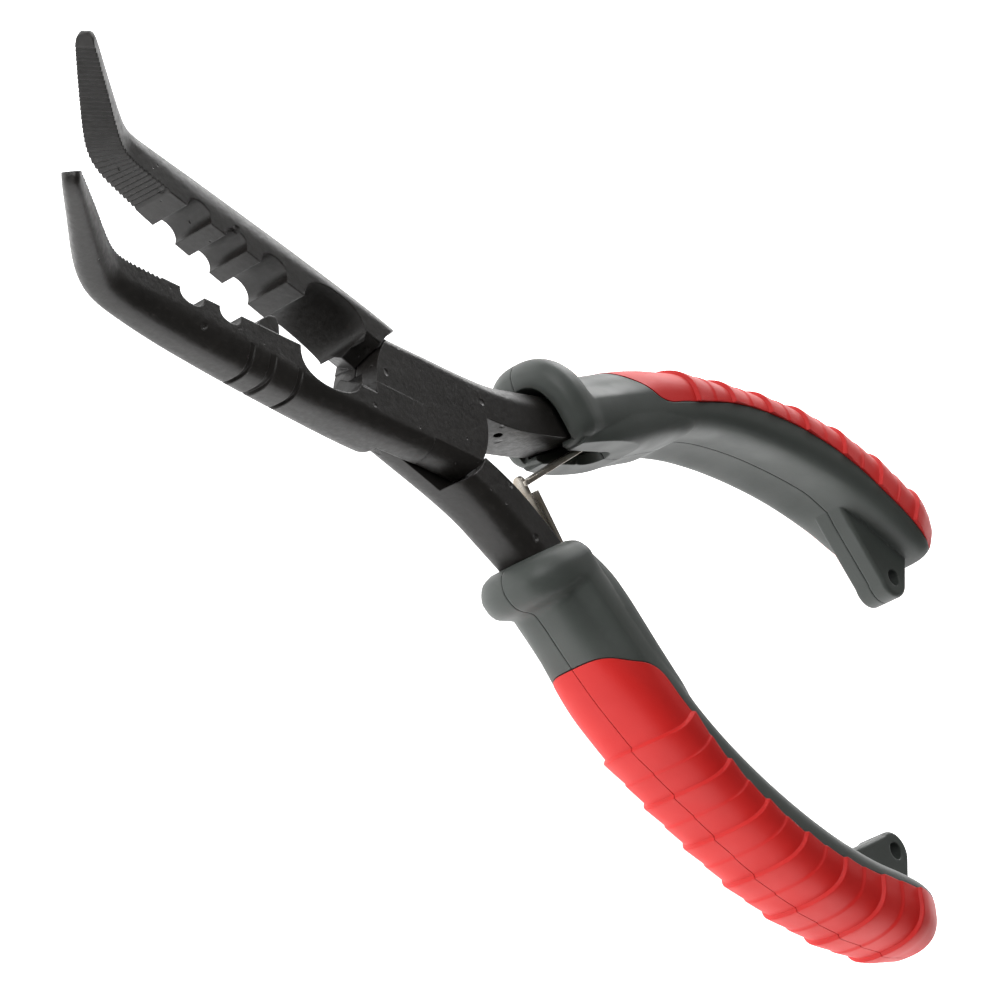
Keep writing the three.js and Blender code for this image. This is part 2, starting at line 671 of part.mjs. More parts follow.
// One moulding on one side of the middle plane: face is +1 for the front and -1 for the rear.
function moulded(body, face) {
  const low = face > 0 ? SPLIT_GAP : -30;
  const high = face > 0 ? 30 : -SPLIT_GAP;
  const parts = body.intersect(box(-120, 140, -80, 80, low, high)).decompose();
  return parts.reduce((a, b) => (a.volume() > b.volume() ? a : b));
}

// ---- materials and assembly -----------------------------------------------------------------
const blackSteel = new THREE.MeshStandardMaterial({ color: 0x24231f, roughness: 0.42, metalness: 0.7 });
const springSteel = new THREE.MeshStandardMaterial({ color: 0x8f8378, roughness: 0.35, metalness: 0.9 });
const rivetSteel = new THREE.MeshStandardMaterial({ color: 0x3b3a37, roughness: 0.38, metalness: 0.8 });
const greyGrip = new THREE.MeshStandardMaterial({ color: 0x4d5550, roughness: 0.55, metalness: 0 });
const redPad = new THREE.MeshStandardMaterial({ color: 0xc62a26, roughness: 0.5, metalness: 0 });

const pliers = new THREE.Group();
const frontGroup = new THREE.Group();
const rearGroup = new THREE.Group();
frontGroup.rotation.z = HALF_OPENING;
rearGroup.rotation.z = -HALF_OPENING;
pliers.add(frontGroup, rearGroup);
pliers.position.z = -JOINT_HALF_THICK;

const hole = rivet(RIVET_CLEARANCE);
const front = steelHalf(-1, 1).subtract(hole).subtract(springRivet(1, 0.1));
const rear = steelHalf(1, -1).subtract(hole).subtract(springRivet(-1, 0.1));
frontGroup.add(piece("front_half", front, blackSteel));
frontGroup.add(piece("pivot_rivet", rivet(), rivetSteel));
rearGroup.add(piece("rear_half", rear, blackSteel));

for (const [name, side, group] of [["upper", 1, frontGroup], ["lower", -1, rearGroup]]) {
  group.add(piece(`${name}_leaf_spring`, leafSpring(side), springSteel));
  group.add(piece(`${name}_spring_rivet`, springRivet(side), rivetSteel));
  const { shell, pad } = gripPieces(side);
  for (const [where, face] of [["front", 1], ["rear", -1]]) {
    group.add(piece(`${name}_grip_${where}`, moulded(shell, face), greyGrip));
    group.add(piece(`${name}_pad_${where}`, moulded(pad, face), redPad));
  }
}

export default pliers;
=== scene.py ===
"""Looks for the bent-nose fishing pliers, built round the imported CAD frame.

Shapes are drawn in millimetres, each half closed along X with the joint's middle plane at Z = 0,
and are then turned about the pivot by half of the opening and moved into the frame.
"""

import math

import bmesh
import bpy
import numpy as np
from mathutils import Matrix, Vector


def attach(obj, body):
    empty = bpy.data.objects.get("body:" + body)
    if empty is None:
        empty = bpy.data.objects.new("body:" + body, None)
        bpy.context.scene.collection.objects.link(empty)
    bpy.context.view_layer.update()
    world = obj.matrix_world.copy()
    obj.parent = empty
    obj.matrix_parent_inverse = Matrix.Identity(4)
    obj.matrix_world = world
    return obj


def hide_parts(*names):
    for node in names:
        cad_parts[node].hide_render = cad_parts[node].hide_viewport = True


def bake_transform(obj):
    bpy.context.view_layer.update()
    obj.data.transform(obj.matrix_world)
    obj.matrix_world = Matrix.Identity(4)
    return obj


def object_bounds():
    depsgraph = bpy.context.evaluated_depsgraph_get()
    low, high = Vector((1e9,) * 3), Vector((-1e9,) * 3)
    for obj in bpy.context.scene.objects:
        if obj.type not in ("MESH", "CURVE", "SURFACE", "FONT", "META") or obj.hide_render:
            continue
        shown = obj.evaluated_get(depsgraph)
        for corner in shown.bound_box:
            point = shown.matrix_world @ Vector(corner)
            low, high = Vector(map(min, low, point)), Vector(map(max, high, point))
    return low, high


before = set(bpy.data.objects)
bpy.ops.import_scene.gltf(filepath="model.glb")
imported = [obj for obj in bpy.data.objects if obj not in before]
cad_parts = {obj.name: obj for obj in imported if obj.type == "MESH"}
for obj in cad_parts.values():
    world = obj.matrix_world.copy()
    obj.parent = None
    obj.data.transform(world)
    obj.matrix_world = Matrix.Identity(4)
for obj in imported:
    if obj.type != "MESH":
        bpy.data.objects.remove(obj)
cad_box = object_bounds()

# ---- driving dimensions, in millimetres ---------------------------------------------------------
MM = 0.001
CUT_X, CUT_Y, CUT_Z = (-120, 140), (-80, 80), 20  # reach of the cutting blocks, well past the part
RING_STEP = 0.8
HALF_OPENING = math.radians(7.7)
JOINT_HALF_THICK = 4.6
JOINT_RADIUS = 12
JOINT_HALF_WIDTH = 8.6
JOINT_SIDE_BULGE = 5.3
CLEARANCE = 0.3
SPLIT_GAP = 0.15
SEAM_GAP = 0.05
JAW_RELIEF = 0.0143  # how fast the closed jaws' gap widens behind the tips
JAW_GAP = 0.05
TIP_X = -84.1
ROUNDNESS = 0.67

# along a jaw: x, z of the middle, half width, height to the rounded back, flat sides' distance
JAW = [
    (0, 0, 5.3, 7.5, 4.6),
    (-13, 0, 5.2, 8.2, 4.6),
    (-28, 0, 4.5, 8.3, 4.2),
    (-40, 0, 4.1, 7.9, 3.95),
    (-51, 0.1, 3.75, 7.3, 3.65),
    (-59, 0.4, 3.4, 6.6, 3.25),
    (-63, 0.8, 3.2, 6.1, 3.05),
    (-66, 1.8, 2.95, 5.7, 2.85),
    (-69.5, 4.1, 2.7, 5.1, 2.6),
    (-76, 9.3, 2.1, 4.0, 2.1),
    (-82.2, 14.3, 1.55, 3.0, 1.5),
    (TIP_X, 15.8, 1.2, 2.1, 1.2),
]
# from x, to x, depth or height
UPPER_NOTCHES = [(-51.5, -46.7, 2.3), (-43.7, -39.4, 2.3), (-36.6, -31.2, 2.8)]
LOWER_NOTCHES = [(-51.5, -46.7, 2.0), (-43.7, -39.4, 2.0)]
CRIMP_TOOTH = (-36.1, -31.7, 2.1)
CRIMP_HALF_WIDTH = 3.9
# the crimping tooth's crest: shares of its length and of its height
CRIMP_CREST = [
    (0, -0.2),
    (0.12, 0.15),
    (0.25, 0.42),
    (0.38, 0.64),
    (0.5, 0.82),
    (0.63, 0.95),
    (0.75, 1),
    (0.85, 0.96),
    (0.92, 0.82),
    (1, 0.4),
]
RECESS = (-27.6, -15.2, 4.9)
RECESS_FAR_DEPTH = 1.0
RECESS_HALF_WIDTH = 4.3
SERRATION_PITCH = 0.9
SERRATION_DEPTH = 0.36
SERRATION_END_X = -55.1
TIP_BEVEL = 1.5  # length of the flat bevel at the nose
TIP_BEVEL_SLOPE = 0.62
TIP_ROUND = 0.9  # length of the rounded end
TIP_WIDTH = 0.45  # share of the width left at the very tip
TIP_HEIGHT = 0.35
TIP_RINGS = (1.45, 1.1, 0.7, 0.4, 0.2, 0.07, 0)  # the last rings' distances from the tip
BACK_GROOVES = [(-37.3, 0.9), (-33.2, 1.3), (-27.8, 0.9)]  # middle x, width
GROOVE_Y = (4.5, 12)
GROOVE_DEPTH = 0.75
CUTTER_X = (-15.2, -12.1)
CUTTER_DEPTH = 3.0
CUTTER_HALF_WIDTH = 4.4

# along a tang: x, y of the flat side, half width, depth to the rounded back, flat sides' distance
TANG = [
    (-12, 1.8, 5.3, 6.9, 4.6),
    (-2, 1.9, 5.3, 6.95, 4.6),
    (9, 2.0, 5.2, 7.1, 4.6),
    (16, 2.3, 5.0, 7.6, 4.5),
    (22, 3.4, 4.8, 8.0, 4.4),
    (31, 6.2, 4.4, 7.8, 4.2),
    (38, 10.5, 3.6, 6.4, 3.6),
    (46, 14.9, 2.8, 5.4, 2.8),
    (60, 20.4, 2.5, 4.8, 2.5),
]

BLIND_HOLE_PLACE = (17.6, 2.4, 1.6)
BLIND_HOLE_RADIUS = 0.75
RIVET_RADIUS = 3.2
RIVET_HEAD_RADIUS = 4.4
RIVET_HEAD_DEPTH = 1.6
RIVET_FACETS = 96

# along a grip: x, y of the middle, reach to the back, reach to the palm, half width
GRIP = [
    (28.4, 8.0, 7.2, 3.2, 5.9),
    (29.0, 8.5, 9.3, 4.4, 7.4),
    (30.4, 9.6, 10.5, 5.3, 8.3),
    (31.6, 10.5, 10.3, 5.5, 8.4),
    (32.7, 11.2, 9.0, 5.7, 8.3),
    (33.9, 11.9, 6.7, 5.8, 8.2),
    (35.6, 12.8, 6.2, 5.9, 8.2),
    (39, 14.4, 6.3, 6.0, 8.2),
    (44, 16.7, 6.4, 5.9, 8.2),
    (49, 18.9, 6.3, 5.8, 8.2),
    (56, 21.6, 5.9, 5.6, 8.2),
    (60, 22.9, 5.6, 5.3, 8.2),
    (67, 24.5, 5.4, 5.0, 8.2),
    (76, 26.0, 5.5, 5.2, 8.2),
    (86, 26.9, 5.8, 5.7, 8.2),
    (95, 26.7, 5.9, 5.9, 8.2),
    (104, 25.3, 6.1, 5.9, 8.1),
    (111, 23.3, 6.2, 5.8, 8.0),
    (116, 21.6, 6.1, 5.5, 7.5),
    (119, 20.4, 5.5, 4.7, 6.6),
    (120.6, 19.9, 4.1, 3.2, 4.9),
]
GRIP_START, GRIP_END = GRIP[0][0], GRIP[-1][0]
COLLAR_END = 37
COLLAR_STEP = 0.25
GRIP_DOME = 0.9  # length of the rounded far end
GRIP_DOME_RINGS = (0.25, 0.5, 0.7, 0.85, 0.95, 0.995)
GRIP_DOME_FLAT = 0.16  # share of the section left at the very end
# x and y of the red pad's edge, seen along Z
PAD_EDGE = [
    (38.6, 24),
    (40.6, 21.6),
    (45, 20.2),
    (50.5, 18.7),
    (57, 21),
    (70, 25.4),
    (84, 26.8),
    (97, 25.4),
    (109, 21.6),
    (124, 15.8),
]
# the swelling round a spring's slot: x, y of its low side, half width
BULGE = [
    (32.4, 4.3, 7.1),
    (38, 5.4, 7.8),
    (42, 7.3, 8.1),
    (46, 9.5, 8.1),
    (50, 11.9, 8.1),
    (54, 14.0, 8.0),
    (57, 15.6, 7.9),
    (60.5, 18.2, 7.6),
]
BULGE_ROUNDNESS = 0.42
FLAT_START = (32, 4.8)
FLAT_SLOPE = 0.36
BACK_ROUNDNESS = 0.8
SIDE_ROUNDNESS = 0.6
PALM_ROUNDNESS = 0.5
GRIP_FACETS = 96
PAD_THICK = 2.2
PAD_PROUD = 0.06
PAD_RIM_GAP = 0.06
NECK_PINCH = 1.7  # behind the collar the back half of the grip is thinner by this much on each face
NECK_PINCH_X = (32.6, 34.2, 36, 52)
PALM_DISH = 1.1  # the palm side of the grey grip is dished by this much
PALM_DISH_X = (50, 62, 94, 103)
SCALE_COUNT = 7
SCALE_START = 58.3
SCALE_PITCH = 9.25
SCALE_HEIGHT = 0.6
SCALE_MIDDLE = 0.33
SCALE_REST = 0.1
SCALE_EDGE = 0.4
SCALE_BOW = 1.2
SCALE_BOW_X = (50, 58)
SCALE_FADE = (5, 2.5)  # the scales fade out between these distances from the grip's end

LUG_X = 112.2
LUG_Y = 11.3
LUG_RADIUS = 3.4
LUG_HALF_THICK = 3
LUG_HOLE_RADIUS = 1.45
LUG_RIM = 0.7
LUG_FOOT = [(116.4, 16.5), (114, 22), (98.5, 22), (101.5, 18.2)]

LEAF_ROOT = (41, 10.9)
LEAF_ANGLE = math.radians(180 + 39.6)
LEAF_REACH = 21.9
LEAF_FORK_PAST = 1.3
LEAF_TONGUE_PAST = 1.7
LEAF_FOOT = 11
FOOT_ANGLE = math.radians(28)
LEAF_THICK = 0.8
LEAF_HALF_WIDTH = 2.3
LEAF_TONGUE_HALF_WIDTH = 0.9
LEAF_FORK_HALF_WIDTH = 1.25
LEAF_OVERLAP = 3
LEAF_EDGE = 0.13
CHANNEL_HALF_WIDTH = 2.7
CHANNEL_MOUTH = [
    (18, -4),
    (33, 2),
    (39, 6.4),
    (40.6, 8.6),
    (41.4, 10.7),
    (41, 12.4),
    (38, 11),
    (18, 4.5),
]
CHANNEL_END = (39.7, 10.3, 0)
CHANNEL_FOOT = (-1.1, 1.5)  # the foot's slot, across its line
FUNNEL_X = (20, 31.2)
FUNNEL_MARGIN = 1.0


# ---- curves -------------------------------------------------------------------------------------
def between(stations, steps):
    """Smooth rows between stations, with the same number of steps in each interval."""
    s = np.array(stations, float)
    rows = []
    for i in range(len(s) - 1):
        a, b, c, d = s[max(i - 1, 0)], s[i], s[i + 1], s[min(i + 2, len(s) - 1)]
        for k in range(steps):
            t = k / steps
            rows.append(
                (2 * t**3 - 3 * t**2 + 1) * b
                + (t**3 - 2 * t**2 + t) * (c - a) / 2
                + (3 * t**2 - 2 * t**3) * c
                + (t**3 - t**2) * (d - b) / 2
            )
    rows.append(s[-1])
    return np.array(rows)


def relief(x):
    """How far a jaw's gripping face stands back from the middle when the tips meet."""
    return JAW_GAP + JAW_RELIEF * np.maximum(0, x - TIP_X - 4)


# ---- meshes and booleans -------------------------------------------------------------------------
SHARP_ANGLE = math.radians(32)
NORMAL_WEIGHT = 70


def new_object(name, verts, faces):
    mesh = bpy.data.meshes.new(name)
    mesh.from_pydata([tuple(map(float, v)) for v in verts], [], faces)
    bm = bmesh.new()
    bm.from_mesh(mesh)
    bmesh.ops.remove_doubles(bm, verts=bm.verts, dist=1e-5)
    bmesh.ops.recalc_face_normals(bm, faces=bm.faces)
    if bm.calc_volume(signed=True) < 0:
        bmesh.ops.reverse_faces(bm, faces=bm.faces)
    bm.to_mesh(mesh)
    bm.free()
    made = bpy.data.objects.new(name, mesh)
    bpy.context.scene.collection.objects.link(made)
    return made


def loft(name, rings):
    """A closed mesh through rings of points, each with the same count."""
    count = len(rings[0])
    faces = []
    for r in range(len(rings) - 1):
        for i in range(count):
            j = (i + 1) % count
            a, b = r * count + i, r * count + j
            faces.append((a, a + count, b + count, b))
    faces.append(tuple(range(count)))
    last = (len(rings) - 1) * count
    faces.append(tuple(range(last + count - 1, last - 1, -1)))
    return new_object(name, [p for ring in rings for p in ring], faces)


def prism(name, outline, low, high):
    """A flat outline in XY, extruded along Z."""
    return loft(name, [[(x, y, z) for x, y in outline] for z in (low, high)])


def cylinder(name, x, y, radius, low, high, sides):
    turn = [2 * math.pi * i / sides for i in range(sides)]
    outline = [(x + radius * math.cos(a), y + radius * math.sin(a)) for a in turn]
    return prism(name, outline, low, high)


def block(name, x0, x1, y0, y1, z0, z1):
    return prism(name, [(x0, y0), (x1, y0), (x1, y1), (x0, y1)], z0, z1)


def combine(body, other, operation):
    """A boolean of two meshes, written back into the first one. The second one is removed."""
    modifier = body.modifiers.new("combine", "BOOLEAN")
    modifier.object = other
    modifier.operation = operation
    modifier.solver = "MANIFOLD"
    graph = bpy.context.evaluated_depsgraph_get()
    graph.update()
    mesh = bpy.data.meshes.new_from_object(body.evaluated_get(graph))
    body.modifiers.clear()
    body.data = mesh
    bpy.data.objects.remove(other)
    return body


def cut(body, other):
    return combine(body, other, "DIFFERENCE")


def join(body, other):
    return combine(body, other, "UNION")


def overlap(body, other):
    return combine(body, other, "INTERSECT")


def copy_of(body, name):
    made = bpy.data.objects.new(name, body.data.copy())
    bpy.context.scene.collection.objects.link(made)
    return made


def mirrored(body):
    """Mirrors a cutter drawn for the upper handle, for the lower one."""
    body.data.transform(Matrix.Scale(-1, 4, (0, 1, 0)))
    body.data.flip_normals()
    return body


def placed(body, side):
    """Turns a piece of one half about the pivot and moves it into the frame, in metres."""
    turn = Matrix.Rotation(side * HALF_OPENING, 4, "Z")
    down = Matrix.Translation((0, 0, -JOINT_HALF_THICK))
    body.data.transform(Matrix.Scale(MM, 4) @ down @ turn)
    body.data.update()
    return body


def smooth(body):
    """Smooth shading with sharp edges kept."""
    for p in body.data.polygons:
        p.use_smooth = True
    body.data.set_sharp_from_angle(angle=SHARP_ANGLE)
    modifier = body.modifiers.new("weighted", "WEIGHTED_NORMAL")
    modifier.keep_sharp = True
    modifier.weight = NORMAL_WEIGHT
    return body


# ---- steel halves: the lower jaw's half is in front, the upper jaw's half behind -----------------
SECTION_STEPS = 40
NOTCH_STEPS = 36
DISC_SIDES = 160


def wave(value, power):
    """A sine or cosine raised to a power with its sign kept, for rounded boxes."""
    return np.sign(value) * np.abs(value) ** power


def direction(start, end):
    """The unit vector from one point to another, in a plane."""
    along = np.subtract(end, start)
    return along / np.hypot(*along)


def d_section(width, depth, cap):
    """A ring with one flat side: half width, depth to the rounded back, flat sides' distance."""
    angle = np.pi * np.arange(SECTION_STEPS + 1) / SECTION_STEPS
    across = wave(np.cos(angle), ROUNDNESS) * width
    across[np.abs(np.cos(angle)) < 1e-9] = 0
    up = np.abs(np.sin(angle)) ** ROUNDNESS * depth
    up[[0, -1]] = 0
    return np.clip(across, -cap, cap), up


def jaw_places(tip, bend):
    """Distances along a jaw: fine where the serrations are, coarser behind them."""
    plain = np.arange(0, bend, RING_STEP)
    count = int((tip - TIP_BEVEL - 0.1 - bend) / (SERRATION_PITCH / 2))
    teeth = bend + np.arange(count + 1) * (SERRATION_PITCH / 2)
    return np.concatenate([plain, teeth, tip - np.array(TIP_RINGS)])


def jaw(name, side, trim=0.0, teeth=True):
    """A jaw from the joint to its tip. Trim lowers its back, for the core of the grooves."""
    rows = between(JAW, 14)
    line = rows[:, :2]
    length = np.concatenate([[0], np.cumsum(np.linalg.norm(np.diff(line, axis=0), axis=1))])
    bend = float(np.interp(-SERRATION_END_X, -rows[:, 0], length))
    rings = []
    for d in jaw_places(length[-1], bend):
        x, z, width, height, cap = (np.interp(d, length, rows[:, c]) for c in range(5))
        before, after = (
            [np.interp(d + gap, length, line[:, c]) for c in range(2)] for gap in (-0.6, 0.6)
        )
        ax, az = direction(before, after)
        across, up = d_section(width, height - trim, cap)
        left = length[-1] - d
        low = TIP_BEVEL_SLOPE * max(0.0, TIP_BEVEL - left)
        if teeth and bend < d and left > TIP_BEVEL:
            low += SERRATION_DEPTH * (int(round((d - bend) / (SERRATION_PITCH / 2))) % 2)
        ahead = math.sqrt(1 - max(0.0, 1 - left / TIP_ROUND) ** 2)
        squeeze = TIP_WIDTH + (1 - TIP_WIDTH) * ahead
        crown = height * (TIP_HEIGHT + (1 - TIP_HEIGHT) * squeeze)
        lift = relief(x) + np.clip(up, low, max(crown, low))
        across = across * squeeze
        rings.append([(x + az * a, side * u, z - ax * a) for a, u in zip(across, lift)])
    return loft(name, rings)


def notch_outline(x0, x1, depth, side):
    middle, half = (x0 + x1) / 2, (x1 - x0) / 2
    outline = [(x0, -side * 3)]
    for i in range(NOTCH_STEPS + 1):
        a = math.pi * (1 - i / NOTCH_STEPS)
        low = relief(middle) + depth * max(0.0, math.sin(a)) ** 0.7
        outline.append((middle + half * math.cos(a), side * low))
    outline.append((x1, -side * 3))
    return outline


def notch(side, x0, x1, near, far):
    """A round-bottomed notch through a jaw, with its depth on the near and on the far side."""
    slope = (near - far) / (2 * RECESS_HALF_WIDTH)
    rings = []
    for z in (-5, 8):
        outline = notch_outline(x0, x1, (near + far) / 2 + slope * z, side)
        rings.append([(x, y, z) for x, y in outline])
    return loft("notch", rings)


def crimp_tooth(side):
    """The blunt tooth of the lower jaw that stands opposite the upper jaw's widest notch."""
    x0, x1, height = CRIMP_TOOTH
    crest = [(x0 + u * (x1 - x0), -side * v * height) for u, v in CRIMP_CREST]
    outline = [(x0, side * 1.5), *crest, (x1, side * 1.5)]
    return prism("tooth", outline, -CRIMP_HALF_WIDTH, CRIMP_HALF_WIDTH)


def back_grooves(side):
    """Bands round a jaw's back, less the jaw's core: what the three grooves take away."""
    core = jaw("core", side, GROOVE_DEPTH, teeth=False)
    bands = None
    low, high = sorted(side * y for y in GROOVE_Y)
    for x, width in BACK_GROOVES:
        band = block("band", x - width / 2, x + width / 2, low, high, -8, 8)
        bands = band if bands is None else join(bands, band)
    return cut(bands, core)


def cutter(side):
    """A bevelled cutting edge beside the joint."""
    half, root, foot = CUTTER_HALF_WIDTH, CUTTER_DEPTH - 0.35, CUTTER_DEPTH + 1
    bevel = [(-half, root), (-0.2, 0.1), (0.2, 0.1), (half, root), (half, foot), (-half, foot)]
    return loft("cutter", [[(x, side * y, z) for z, y in bevel] for x in CUTTER_X])


def tang(name, side, margin=0.0):
    """The steel inside a grip, or with a margin the room for it."""
    rows = between(TANG, 10)
    rings = []
    for i, (x, y, width, depth, cap) in enumerate(rows):
        ax, ay = direction(rows[max(i - 1, 0), :2], rows[min(i + 1, len(rows) - 1), :2])
        across, up = d_section(width + margin, depth + 2 * margin, cap + margin)
        out = up - margin
        rings.append([(x - ay * o, side * (y + ax * o), a) for a, o in zip(across, out)])
    return loft(name, rings)


def joint_plate(face):
    """One half's share of the joint: a round disc with rounded long sides."""
    angle = 2 * np.pi * np.arange(DISC_SIDES) / DISC_SIDES
    y = wave(np.cos(angle), ROUNDNESS) * JOINT_HALF_WIDTH
    z = wave(np.sin(angle), ROUNDNESS) * JOINT_SIDE_BULGE
    reach = JOINT_RADIUS + 2
    bar = loft("plate", [[(x, b, c) for b, c in zip(y, z)] for x in (-reach, reach)])
    low, high = (SPLIT_GAP, JOINT_HALF_THICK) if face > 0 else (-JOINT_HALF_THICK, -SPLIT_GAP)
    return overlap(bar, cylinder("disc", 0, 0, JOINT_RADIUS, low, high, DISC_SIDES))


def blind_hole():
    """The small blind hole in the inner side of the upper handle's tang."""
    hole = cylinder("hole", 0, 0, BLIND_HOLE_RADIUS, -3, 1.2, 32)
    hole.data.transform(Matrix.Rotation(math.radians(-90), 4, "X"))
    hole.data.transform(Matrix.Translation(BLIND_HOLE_PLACE))
    return hole


def rivet_seat():
    """The room for the rivet's head in the back of the joint."""
    top = RIVET_HEAD_DEPTH - JOINT_HALF_THICK
    return cylinder("seat", 0, 0, RIVET_HEAD_RADIUS + 0.1, -6, top, 128)


def steel_half(name, jaw_side, face):
    """A jaw, its share of the joint and its tang, which lies on the jaw's other side."""
    blade = jaw(name, jaw_side)
    for x0, x1, depth in UPPER_NOTCHES if jaw_side > 0 else LOWER_NOTCHES:
        cut(blade, notch(jaw_side, x0, x1, depth, depth))
    far = RECESS_FAR_DEPTH if jaw_side > 0 else RECESS[2]
    cut(blade, notch(jaw_side, RECESS[0], RECESS[1], RECESS[2], far))
    y0, y1 = (-2, CUTTER_DEPTH) if jaw_side > 0 else (-CUTTER_DEPTH, 2)
    cut(blade, block("pocket", *CUTTER_X, y0, y1, -9, 9))
    join(blade, cutter(jaw_side))
    if jaw_side < 0:
        cut(blade, back_grooves(jaw_side))
        join(blade, crimp_tooth(jaw_side))
    ahead = block("ahead", 0, CUT_X[1], *CUT_Y, -CUT_Z, CUT_Z)
    join(ahead, cylinder("disc", 0, 0, JOINT_RADIUS, -CUT_Z, CUT_Z, DISC_SIDES))
    join(blade, overlap(tang("tang", -jaw_side), ahead))
    low, high = (-CUT_Z, SPLIT_GAP) if face > 0 else (-SPLIT_GAP, CUT_Z)
    cut(blade, cylinder("swept", 0, 0, JOINT_RADIUS + CLEARANCE, low, high, DISC_SIDES))
    join(blade, joint_plate(face))
    return blade


# ---- grips: two grey half-shells and two red pads on each handle --------------------------------
GRIP_LINE = between(GRIP, 24)
GRIP_ANGLES = 2 * np.pi * (np.arange(GRIP_FACETS) + 0.5) / GRIP_FACETS
RIM_STEPS = 4


def grip_rows(xs):
    """The grip's table, read at any x."""
    return np.stack([np.interp(xs, GRIP_LINE[:, 0], GRIP_LINE[:, c]) for c in range(5)], -1)


def step(low, high, x):
    """A soft step from 0 to 1."""
    t = np.clip((x - low) / (high - low), 0, 1)
    return t * t * (3 - 2 * t)


def plateau(places, x):
    """Rises from 0 to 1 between the first two places and falls back between the last two."""
    return step(places[0], places[1], x) * (1 - step(places[2], places[3], x))


def grip_ring(side, xs, grow, shrink=1.0, dish=0.0):
    """One ring of the grip. The places xs may differ round it."""
    xs = np.broadcast_to(np.asarray(xs, float), GRIP_ANGLES.shape)
    middle, y, out, inner, width = grip_rows(xs).T
    along = grip_rows(xs + 0.4)[:, :2] - grip_rows(xs - 0.4)[:, :2]
    along /= np.linalg.norm(along, axis=1)[:, None]
    up, cos = np.sin(GRIP_ANGLES), np.cos(GRIP_ANGLES)
    back = up > 0
    share = np.abs(wave(cos, SIDE_ROUNDNESS))
    hollow = dish * np.clip(1 - (share / 0.82) ** 2, 0, 1) ** 1.5
    reach = np.where(
        back,
        (out + grow) * wave(up, BACK_ROUNDNESS),
        (inner + grow) * wave(up, PALM_ROUNDNESS) + hollow,
    )
    pinch = NECK_PINCH * plateau(NECK_PINCH_X, middle) * step(0, 0.45, up)
    across = (width + grow - pinch) * wave(cos, np.where(back, BACK_ROUNDNESS, SIDE_ROUNDNESS))
    reach, across = reach * shrink, across * shrink
    return np.stack(
        [middle - along[:, 1] * reach, side * (y + along[:, 0] * reach), across], 1
    )


def dome(side, grow):
    """Rings that round the grip's far end off."""
    rings = []
    for u in GRIP_DOME_RINGS:
        shrink = GRIP_DOME_FLAT + (1 - GRIP_DOME_FLAT) * math.sqrt(1 - u * u)
        rings.append(grip_ring(side, GRIP_END - GRIP_DOME + GRIP_DOME * u, grow, shrink))
    return rings


def grip_body(name, side, trim=0.0, dished=False):
    """A grip's plain form, moved inwards by the trim."""
    end = GRIP_END - GRIP_DOME - trim
    collar = np.arange(GRIP_START, COLLAR_END, COLLAR_STEP)
    xs = np.concatenate([collar, np.arange(COLLAR_END, end, RING_STEP), [end]])
    rings = []
    for x in xs:
        dish = PALM_DISH * float(plateau(PALM_DISH_X, x)) if dished else 0
        rings.append(grip_ring(side, x, -trim, dish=dish))
    if trim == 0:
        rings += dome(side, 0)
    return loft(name, rings)


def scale_height(x):
    """The scales' height over the pad. Half-way along a scale a second, lower one starts."""
    place = (x - SCALE_START) / SCALE_PITCH
    share = place - np.floor(place)
    first = SCALE_HEIGHT * (1 - share * 2) + SCALE_REST * share * 2
    second = SCALE_MIDDLE * (2 - share * 2)
    height = np.where(share < 0.5, first, second)
    return np.where((place < 0) | (place >= SCALE_COUNT), 0, height)


def pad_body(side):
    """The pad's outer form, whose overlapping scales step up at their front edges."""
    half = SCALE_PITCH / 2
    xs = list(np.arange(34, SCALE_START - SCALE_EDGE - 0.3, RING_STEP))
    for i in range(2 * SCALE_COUNT - 1):
        x = SCALE_START + i * half
        if x > GRIP_END - 3:
            break
        xs += [x - SCALE_EDGE, x - SCALE_EDGE / 2, x - 0.06, x + 0.12]
        xs += list(np.linspace(x + 0.5, x + half - SCALE_EDGE - 0.4, 6))
    end = GRIP_END - GRIP_DOME
    xs = [x for x in xs if x < end - 0.2] + [end]
    bow = SCALE_BOW * np.maximum(0, np.sin(GRIP_ANGLES)) ** 2
    rings = []
    for x in xs:
        at = x - bow * float(step(*SCALE_BOW_X, x))
        place = (x - SCALE_START) / half
        edge = (math.ceil(place) - place) * half  # distance to the next front edge
        rise = SCALE_MIDDLE if math.ceil(place) % 2 else SCALE_HEIGHT
        lift = float(scale_height(np.array(x)))
        if 0 <= edge < SCALE_EDGE and place > -1:
            lift += (rise - lift) * float(step(SCALE_EDGE, 0, edge))
        fade = 1 - float(step(*(GRIP_END - d for d in SCALE_FADE), x))
        rings.append(grip_ring(side, np.minimum(at, end), PAD_PROUD + lift * fade))
    return loft("pad", rings + dome(side, PAD_PROUD))


def pad_zone(side, shift):
    """The zone of the red pad, seen along Z, moved inwards by a shift."""
    edge = between([(x, y - shift) for x, y in PAD_EDGE], 12)
    outline = [(x - (shift if x < 45 else 0), side * y) for x, y in edge]
    outline += [(126, side * 60), (30, side * 60)]
    return prism("zone", outline, -CUT_Z, CUT_Z)


def inset(outline, by):
    """A closed outline moved inwards."""
    p = np.array(outline, float)
    before, after = np.roll(p, 1, 0), np.roll(p, -1, 0)
    area = np.sum(p[:, 0] * after[:, 1] - p[:, 1] * after[:, 0])
    normals = []
    for edge in (p - before, after - p):
        edge = edge / np.linalg.norm(edge, axis=1)[:, None]
        normals.append(np.stack([-edge[:, 1], edge[:, 0]], 1) * np.sign(area))
    mean = normals[0] + normals[1]
    mean /= np.maximum(np.sum(mean * normals[0], axis=1), 0.35)[:, None]
    return p + mean * by


